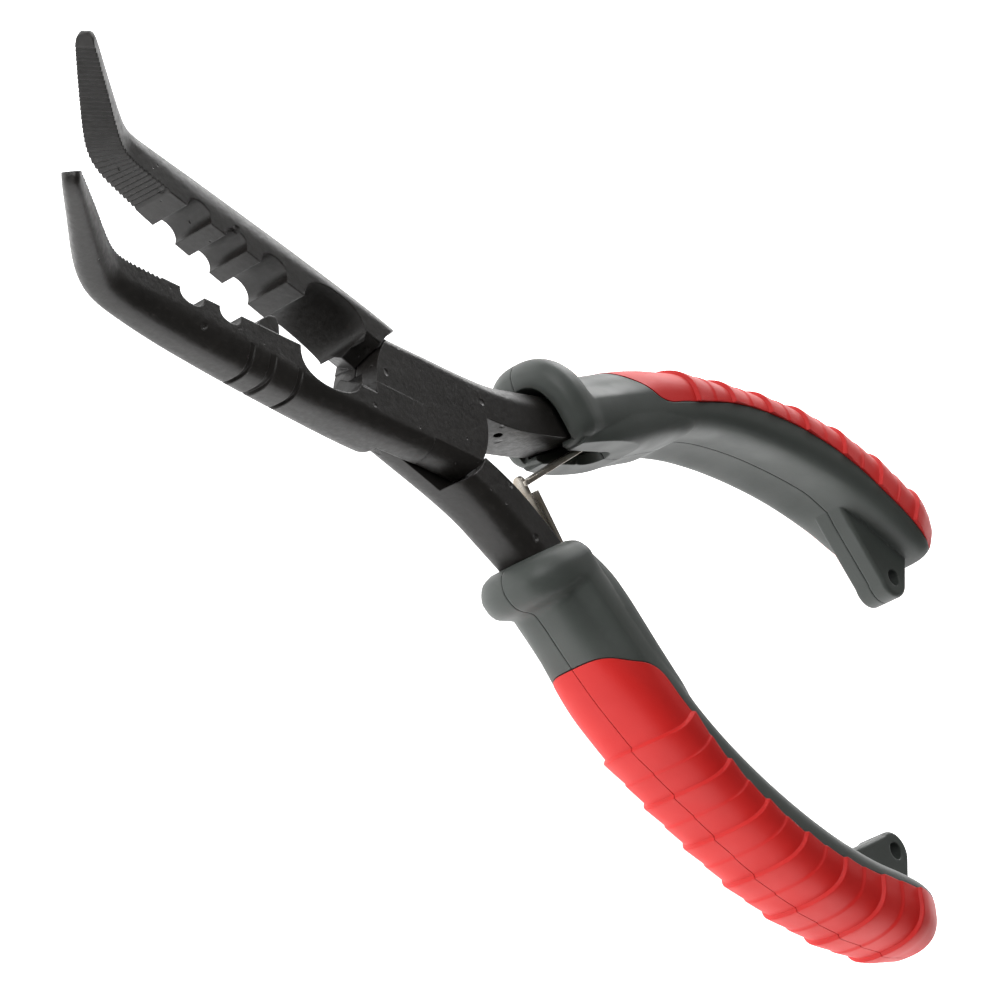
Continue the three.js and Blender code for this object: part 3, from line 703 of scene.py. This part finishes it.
def rounded_prism(name, outline, half, radius):
    """A flat outline, thick on both sides of the middle plane, with rounded rims."""
    angles = [math.pi / 2 * i / RIM_STEPS for i in range(RIM_STEPS + 1)]
    low = [(-half + radius * (1 - math.cos(a)), radius * (1 - math.sin(a))) for a in angles]
    levels = low + [(-z, by) for z, by in reversed(low)]
    return loft(name, [[(x, y, z) for x, y in inset(outline, by)] for z, by in levels])


def lug(side):
    """The ear with the lanyard hole, on the palm side of the grip's far end."""
    outline = []
    for i in range(21):
        a = math.pi * (1.12 + i / 24)
        outline.append((LUG_X + LUG_RADIUS * math.cos(a), LUG_Y + LUG_RADIUS * math.sin(a)))
    outline += LUG_FOOT
    return rounded_prism("lug", [(x, side * y) for x, y in outline], LUG_HALF_THICK, LUG_RIM)


def leaf_channel(side):
    """The slot that the leaf comes out of, its pocket for the foot, and its round end."""
    c, s = math.cos(FOOT_ANGLE), math.sin(FOOT_ANGLE)
    low, high = CHANNEL_FOOT
    corners = [(-1, low), (LEAF_FOOT + 1, low), (LEAF_FOOT + 1, high), (-1, high)]
    foot = [(LEAF_ROOT[0] + c * u - s * v, LEAF_ROOT[1] + s * u + c * v) for u, v in corners]
    mouth, slot = (
        prism(name, [(x, side * y) for x, y in outline], -CHANNEL_HALF_WIDTH, CHANNEL_HALF_WIDTH)
        for name, outline in (("mouth", CHANNEL_MOUTH), ("slot", foot))
    )
    end = cylinder("end", 0, 0, CHANNEL_HALF_WIDTH, -1.5, 7, 48)
    end.data.transform(Matrix.Rotation(math.radians(90), 4, "X"))
    end.data.transform(Matrix.Rotation(LEAF_ANGLE - math.pi, 4, "Z"))
    end.data.transform(Matrix.Translation(CHANNEL_END))
    if side < 0:
        mirrored(end)
    return join(join(mouth, slot), end)


def channel_bulge(side):
    """The swelling on the palm that the leaf comes out of, cut flat round its slot."""
    rings = []
    for x, low, width in between(BULGE, 12):
        centre = float(np.interp(x, GRIP_LINE[:, 0], GRIP_LINE[:, 1]))
        up, across = np.sin(GRIP_ANGLES), width * wave(np.cos(GRIP_ANGLES), BULGE_ROUNDNESS)
        reach = np.where(up > 0, up, (centre - low) * wave(up, BULGE_ROUNDNESS))
        rings.append([(x, side * (centre + r), z) for r, z in zip(reach, across)])
    line = [(x, side * (FLAT_START[1] + FLAT_SLOPE * (x - FLAT_START[0]))) for x in (26, 60)]
    below = prism("below", [*line, (60, -6 * side), (26, -6 * side)], -12, 12)
    return cut(loft("bulge", rings), below)


def halves(body, name):
    """Parts a moulding at the middle plane and leaves a thin seam."""
    rear = copy_of(body, name + "_rear")
    body.name = name + "_front"
    overlap(body, block("front", *CUT_X, *CUT_Y, SEAM_GAP, CUT_Z))
    overlap(rear, block("rear", *CUT_X, *CUT_Y, -CUT_Z, -SEAM_GAP))
    return body, rear


def largest(body):
    """Keeps the largest connected part of a mesh."""
    bm = bmesh.new()
    bm.from_mesh(body.data)
    left, parts = set(bm.verts), []
    while left:
        stack, part = [left.pop()], []
        while stack:
            v = stack.pop()
            part.append(v)
            for e in v.link_edges:
                o = e.other_vert(v)
                if o in left:
                    left.discard(o)
                    stack.append(o)
        parts.append(part)
    parts.sort(key=len)
    for part in parts[:-1]:
        bmesh.ops.delete(bm, geom=part, context="VERTS")
    bm.to_mesh(body.data)
    bm.free()
    return body


def grip_pieces(side, name):
    """The two shells and the two pads of one grip, in the order of GRIP_PARTS."""
    core = grip_body("core", side, PAD_THICK)
    zone = cut(pad_zone(side, PAD_RIM_GAP), core)
    shell = grip_body("shell", side, dished=True)
    cut(shell, zone)
    join(shell, lug(side))
    join(shell, channel_bulge(side))
    cut(shell, leaf_channel(side))
    cut(shell, tang("hollow", side, CLEARANCE))
    if side > 0:  # the upper collar's mouth is wider than its tang
        mouth = block("mouth", *FUNNEL_X, 0, 40, -10, 10)
        cut(shell, overlap(tang("funnel", side, FUNNEL_MARGIN), mouth))
    cut(shell, cylinder("eye", LUG_X, side * LUG_Y, LUG_HOLE_RADIUS, -9, 9, 64))
    pad = overlap(pad_body(side), pad_zone(side, -PAD_RIM_GAP))
    cut(pad, grip_body("inner", side, PAD_THICK - CLEARANCE))
    made = [*halves(shell, name + "_shell"), *halves(pad, name + "_scales")]
    return [largest(piece) for piece in made]


# ---- leaf springs and rivets ---------------------------------------------------------------------
def leaf_sheet(side):
    """The middle sheet of a strip, from its foot on the tang to its free end."""
    fork = side > 0
    inner = LEAF_FORK_HALF_WIDTH if fork else LEAF_TONGUE_HALF_WIDTH
    neck = LEAF_REACH - LEAF_OVERLAP / 2
    end = LEAF_REACH + (LEAF_FORK_PAST if fork else LEAF_TONGUE_PAST)
    columns = np.array([-LEAF_HALF_WIDTH, -inner, -inner / 2, 0, inner / 2, inner, LEAF_HALF_WIDTH])
    rows = np.concatenate(
        [
            np.linspace(-LEAF_FOOT + 0.3, -1.2, 6),
            np.linspace(-0.9, 0.9, 6),
            np.linspace(1.6, neck, 18),
            np.linspace(neck + 0.25, end - 1, 9),
            end - 1 + np.array([0.3, 0.55, 0.75, 0.9, 1.0]),
        ]
    )
    verts, faces = [], []
    for r in rows:
        foot = np.array([math.cos(FOOT_ANGLE), math.sin(FOOT_ANGLE)]) * -min(r, 0)
        arm = np.array([math.cos(LEAF_ANGLE), math.sin(LEAF_ANGLE)]) * max(r, 0)
        at = np.array(LEAF_ROOT) + foot + arm
        squeeze = 1.0
        if not fork and r > end - LEAF_TONGUE_HALF_WIDTH:
            u = (r - end + LEAF_TONGUE_HALF_WIDTH) / LEAF_TONGUE_HALF_WIDTH
            squeeze = max(0.15, math.sqrt(max(0, 1 - u * u)))
        for c in columns:
            verts.append((at[0], side * at[1], c * squeeze))
    n = len(columns)
    for i in range(len(rows) - 1):
        for k in range(n - 1):
            outer = k in (0, n - 2)
            if rows[i] >= neck and outer != fork:
                continue
            a = i * n + k
            faces.append((a, a + 1, a + n + 1, a + n))
    return verts, faces


def leaf(name, side):
    """A leaf spring: its sheet, thickened and with bevelled edges."""
    verts, faces = leaf_sheet(side)
    mesh = bpy.data.meshes.new(name)
    mesh.from_pydata(verts, [], faces)
    bm = bmesh.new()
    bm.from_mesh(mesh)
    bmesh.ops.delete(bm, geom=[v for v in bm.verts if not v.link_faces], context="VERTS")
    bmesh.ops.recalc_face_normals(bm, faces=bm.faces)
    bm.to_mesh(mesh)
    bm.free()
    made = bpy.data.objects.new(name, mesh)
    bpy.context.scene.collection.objects.link(made)
    placed(made, side)
    thick = made.modifiers.new("thick", "SOLIDIFY")
    thick.thickness = LEAF_THICK * MM
    thick.offset = 0
    edge = made.modifiers.new("edge", "BEVEL")
    edge.width = LEAF_EDGE * MM
    edge.segments = 3
    edge.limit_method = "ANGLE"
    edge.angle_limit = math.radians(50)
    for p in made.data.polygons:
        p.use_smooth = True
    return made


def pivot_rivet():
    """A profile of radius and height turned about Z, from its dimpled head to its blind end."""
    low, head = -JOINT_HALF_THICK, RIVET_HEAD_RADIUS
    profile = [(0.02, low + 0.12), (0.5, low + 0.1), (0.8, low + 0.02), (1.6, low), (3.9, low)]
    profile += [(head - 0.18, low + 0.05), (head - 0.02, low + 0.2)]
    profile += [(head, low + RIVET_HEAD_DEPTH - 0.05), (RIVET_RADIUS, low + RIVET_HEAD_DEPTH)]
    profile += [(RIVET_RADIUS, 3.35), (0.02, 3.4)]
    angle = 2 * np.pi * np.arange(RIVET_FACETS) / RIVET_FACETS
    rings = []
    for radius, z in profile:
        rings.append(np.stack([radius * np.cos(angle), radius * np.sin(angle), 0 * angle + z], 1))
    return loft("rivet", rings)


# ---- materials -----------------------------------------------------------------------------------
class Shader:
    """A Principled material with helpers that place and link nodes."""

    def __init__(self, name):
        self.material = bpy.data.materials.new(name)
        self.material.use_nodes = True
        self.tree = self.material.node_tree
        self.tree.nodes.clear()
        out = self.tree.nodes.new("ShaderNodeOutputMaterial")
        self.main = self.tree.nodes.new("ShaderNodeBsdfPrincipled")
        self.tree.links.new(self.main.outputs[0], out.inputs[0])
        self.where = self.tree.nodes.new("ShaderNodeTexCoord").outputs["Object"]

    def node(self, kind, **settings):
        made = self.tree.nodes.new(kind)
        for key, value in settings.items():
            setattr(made, key, value)
        return made

    def link(self, a, b):
        self.tree.links.new(a, b)

    def noise(self, size_mm, detail=3.0, rough=0.5, stretch=None):
        """Noise with cells of a size in millimetres, from 0 to 1."""
        where = self.where
        if stretch is not None:
            mapping = self.node("ShaderNodeMapping")
            mapping.inputs["Scale"].default_value = stretch
            self.link(where, mapping.inputs["Vector"])
            where = mapping.outputs["Vector"]
        made = self.node("ShaderNodeTexNoise")
        made.inputs["Scale"].default_value = 1000 / size_mm
        made.inputs["Detail"].default_value = detail
        made.inputs["Roughness"].default_value = rough
        self.link(where, made.inputs["Vector"])
        return made.outputs["Fac"]

    def ramp(self, source, low, high):
        """A blend between two pairs of a place and a colour."""
        made = self.node("ShaderNodeValToRGB")
        for element, (place, colour) in zip(made.color_ramp.elements, (low, high)):
            element.position = place
            element.color = colour
        self.link(source, made.inputs["Fac"])
        return made.outputs["Color"]

    def spread(self, source, low, high, from_low=0.3, from_high=0.7):
        """A source's middle range, mapped to a range from low to high."""
        made = self.node("ShaderNodeMapRange")
        names = ("From Min", "From Max", "To Min", "To Max")
        for key, value in zip(names, (from_low, from_high, low, high)):
            made.inputs[key].default_value = value
        self.link(source, made.inputs["Value"])
        return made.outputs["Result"]

    def maths(self, operation, a, b):
        made = self.node("ShaderNodeMath", operation=operation)
        for socket, value in zip(made.inputs, (a, b)):
            if isinstance(value, (int, float)):
                socket.default_value = value
            else:
                self.link(value, socket)
        return made.outputs[0]

    def mix(self, factor, a, b):
        made = self.node("ShaderNodeMix", data_type="RGBA")
        self.link(factor, made.inputs[0])
        for socket, value in ((made.inputs[6], a), (made.inputs[7], b)):
            if isinstance(value, tuple):
                socket.default_value = value
            else:
                self.link(value, socket)
        return made.outputs[2]

    def relief(self, height, depth_mm, rounding_mm=None):
        """Bump of a depth, and softened edges of a radius, both in millimetres."""
        bump = self.node("ShaderNodeBump")
        bump.inputs["Strength"].default_value = 1.0
        bump.inputs["Distance"].default_value = depth_mm * MM
        self.link(height, bump.inputs["Height"])
        if rounding_mm:
            bevel = self.node("ShaderNodeBevel", samples=6)
            bevel.inputs["Radius"].default_value = rounding_mm * MM
            self.link(bevel.outputs[0], bump.inputs["Normal"])
        self.link(bump.outputs[0], self.main.inputs["Normal"])

    def pits(self, spacing_mm, size):
        """Scattered, slightly ragged pits: 0 in a pit and 1 outside."""
        ragged = self.node("ShaderNodeTexNoise")
        ragged.inputs["Scale"].default_value = 4000 / spacing_mm
        self.link(self.where, ragged.inputs["Vector"])
        shift = self.node("ShaderNodeVectorMath", operation="SCALE")
        shift.inputs["Scale"].default_value = 0.12 * spacing_mm * MM
        self.link(ragged.outputs["Color"], shift.inputs[0])
        moved = self.node("ShaderNodeVectorMath", operation="ADD")
        self.link(self.where, moved.inputs[0])
        self.link(shift.outputs[0], moved.inputs[1])
        made = self.node("ShaderNodeTexVoronoi")
        made.inputs["Scale"].default_value = 1000 / spacing_mm
        self.link(moved.outputs[0], made.inputs["Vector"])
        return self.spread(made.outputs["Distance"], 0, 1, size * 0.4, size)


def black_steel():
    """Black oxide on a forging: warm near-black, fine grain, shallow waves and scattered pits."""
    s = Shader("black_oxide_steel")
    broad, fine, waves = s.noise(9), s.noise(0.8, 4, 0.65), s.noise(3.2, 2)
    tone = s.ramp(broad, (0.3, (0.0068, 0.0060, 0.0053, 1)), (0.7, (0.0120, 0.0106, 0.0094, 1)))
    worn = s.ramp(fine, (0.58, (0, 0, 0, 1)), (0.78, (0.35, 0.35, 0.35, 1)))
    s.link(s.mix(worn, tone, (0.040, 0.036, 0.031, 1)), s.main.inputs["Base Color"])
    s.link(s.spread(fine, 0.34, 0.52), s.main.inputs["Roughness"])
    s.main.inputs["Specular IOR Level"].default_value = 0.42
    big, small = s.pits(5.5, 0.13), s.pits(2.4, 0.10)
    patch = s.spread(s.noise(12, 2), 0, 1, 0.48, 0.6)  # small pits come in patches
    small = s.maths("MULTIPLY", s.maths("SUBTRACT", small, 1.0), patch)
    height = s.maths("ADD", s.maths("MULTIPLY", big, 0.7), s.maths("MULTIPLY", small, 0.6))
    skin = s.maths("ADD", s.maths("MULTIPLY", fine, 0.14), s.maths("MULTIPLY", waves, 0.2))
    s.relief(s.maths("ADD", height, skin), 0.26, 0.3)
    return s.material


def spring_steel():
    s = Shader("bare_spring_steel")
    streak = s.noise(0.5, 3, 0.6, stretch=(0.05, 0.05, 1))
    spots = s.noise(2.5, 3, 0.6)
    tone = s.ramp(spots, (0.35, (0.42, 0.36, 0.29, 1)), (0.65, (0.56, 0.53, 0.48, 1)))
    s.link(tone, s.main.inputs["Base Color"])
    s.main.inputs["Metallic"].default_value = 1.0
    s.link(s.spread(streak, 0.24, 0.42), s.main.inputs["Roughness"])
    s.relief(streak, 0.01)
    return s.material


def rivet_steel():
    s = Shader("blackened_rivet_steel")
    fine = s.noise(0.5, 3, 0.6)
    tone = s.ramp(fine, (0.35, (0.020, 0.019, 0.017, 1)), (0.65, (0.045, 0.043, 0.039, 1)))
    s.link(tone, s.main.inputs["Base Color"])
    s.main.inputs["Metallic"].default_value = 0.6
    s.link(s.spread(fine, 0.3, 0.46), s.main.inputs["Roughness"])
    s.relief(fine, 0.02, 0.15)
    return s.material


def moulding(name, dark, light, rounding, gloss):
    """A satin moulded elastomer with a faint grain and slightly cloudy gloss."""
    s = Shader(name)
    broad, grain, cloudy = s.noise(14, 2), s.noise(0.28, 2), s.noise(5)
    s.link(s.ramp(broad, (0.3, (*dark, 1)), (0.7, (*light, 1))), s.main.inputs["Base Color"])
    s.link(s.spread(cloudy, 0.45, 0.55), s.main.inputs["Roughness"])
    s.main.inputs["Specular IOR Level"].default_value = gloss
    s.relief(grain, 0.012, rounding)
    return s.material


def paint(body, material):
    body.data.materials.clear()
    body.data.materials.append(material)
    for p in body.data.polygons:
        p.material_index = 0
    return body


# ---- assembly ------------------------------------------------------------------------------------
GRIP_PARTS = ("grip_front", "grip_rear", "pad_front", "pad_rear")
STEEL, SPRING, RIVET = black_steel(), spring_steel(), rivet_steel()
GREY = moulding("grey_elastomer", (0.039, 0.045, 0.041), (0.050, 0.057, 0.052), 0.4, 0.45)
RED = moulding("red_elastomer", (0.50, 0.0120, 0.0105), (0.56, 0.016, 0.014), 0.16, 0.3)


def show(piece, side, body_name, node, material):
    """Places a finished piece on its body, in the stead of its CAD node."""
    smooth(placed(piece, side))
    paint(piece, material)
    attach(piece, body_name)
    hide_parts(node)


front_steel = cut(steel_half("steel_front", -1, 1), blind_hole())
rear_steel = cut(steel_half("steel_rear", 1, -1), rivet_seat())
show(front_steel, 1, "front", "front_half", STEEL)
show(rear_steel, -1, "rear", "rear_half", STEEL)
show(pivot_rivet(), 1, "front", "pivot_rivet", RIVET)

for name, side, holder in (("upper", 1, "front"), ("lower", -1, "rear")):
    strip = paint(leaf(name + "_leaf", side), SPRING)
    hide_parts(name + "_leaf_spring")
    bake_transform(strip)
    for piece, part in zip(grip_pieces(side, name), GRIP_PARTS):
        material, slot = (GREY, "grey_grip") if part.startswith("grip") else (RED, "red_pad")
        show(piece, side, holder, f"{name}_{part}", material)
    spring_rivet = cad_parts[name + "_spring_rivet"].data
    spring_rivet.materials.clear()
    spring_rivet.materials.append(RIVET)

# ---- stage, in metres ----------------------------------------------------------------------------
FLOOR_Z = cad_box[0].z - 0.0002
FLOOR_COLOUR = (0.86, 0.86, 0.86, 1)
FLOOR_GLOW = 1.6
STAGE_RADIUS = 4
STAGE_WALL = 0.5
STAGE_SIDES = 64
WORLD_COLOUR = (1.0, 0.98, 0.96, 1)
WORLD_STRENGTH = 0.11
LIGHTS_AIM = (0.02, 0, 0)
# name, place, size, power in watts
LIGHTS = [
    ("key", (-1.0, 0.35, 1.3), 1.3, 18),
    ("top", (0.3, 1.1, 0.3), 0.8, 8),
    ("low_left", (-0.9, -0.6, 0.1), 0.5, 0.7),
]


def floor():
    """A round pale floor with a low pale wall, which gives low views a plain background."""
    turn = [2 * math.pi * i / STAGE_SIDES for i in range(STAGE_SIDES)]
    rim = [(STAGE_RADIUS * math.cos(a), STAGE_RADIUS * math.sin(a)) for a in turn]
    verts = [(x, y, z) for z in (0, STAGE_WALL) for x, y in rim]
    faces = [tuple(range(STAGE_SIDES))]
    for i in range(STAGE_SIDES):
        j = (i + 1) % STAGE_SIDES
        faces.append((j, i, i + STAGE_SIDES, j + STAGE_SIDES))
    mesh = bpy.data.meshes.new("floor")
    mesh.from_pydata(verts, [], faces)
    made = bpy.data.objects.new("floor", mesh)
    made.location.z = FLOOR_Z
    bpy.context.scene.collection.objects.link(made)
    s = Shader("pale_floor")
    s.main.inputs["Base Color"].default_value = FLOOR_COLOUR
    s.main.inputs["Roughness"].default_value = 0.9
    s.main.inputs["Emission Color"].default_value = (1, 1, 1, 1)
    s.main.inputs["Emission Strength"].default_value = FLOOR_GLOW
    mesh.materials.append(s.material)


def soft_light(name, place, size, power):
    data = bpy.data.lights.new(name, "AREA")
    data.shape = "DISK"
    data.size = size
    data.energy = power
    lamp = bpy.data.objects.new(name, data)
    lamp.location = place
    lamp.rotation_mode = "QUATERNION"
    lamp.rotation_quaternion = (Vector(LIGHTS_AIM) - Vector(place)).to_track_quat("-Z", "Y")
    bpy.context.scene.collection.objects.link(lamp)


floor()
world = bpy.data.worlds.new("studio")
world.use_nodes = True
backdrop = world.node_tree.nodes["Background"]
backdrop.inputs["Color"].default_value = WORLD_COLOUR
backdrop.inputs["Strength"].default_value = WORLD_STRENGTH
bpy.context.scene.world = world
for light in LIGHTS:
    soft_light(*light)

# ---- camera at the picture's angle, with its roll ------------------------------------------------
CAMERA_PLACE = (-0.44211, -0.45832, 0.45096)
CAMERA_RIGHT = (0.68327, 0.03669, 0.72924)
CAMERA_UP = (-0.43879, 0.81892, 0.36992)
CAMERA_BACK = (-0.58362, -0.57274, 0.57564)
camera_data = bpy.data.cameras.new("camera")
camera_data.sensor_width = 36
camera_data.lens = 188.2
camera_data.clip_start = 0.01
camera_data.clip_end = 50
camera = bpy.data.objects.new("camera", camera_data)
facing = Matrix((CAMERA_RIGHT, CAMERA_UP, CAMERA_BACK)).transposed().to_4x4()
camera.matrix_world = Matrix.Translation(CAMERA_PLACE) @ facing
bpy.context.scene.collection.objects.link(camera)
bpy.context.scene.camera = camera
bpy.context.scene.view_settings.view_transform = "Standard"
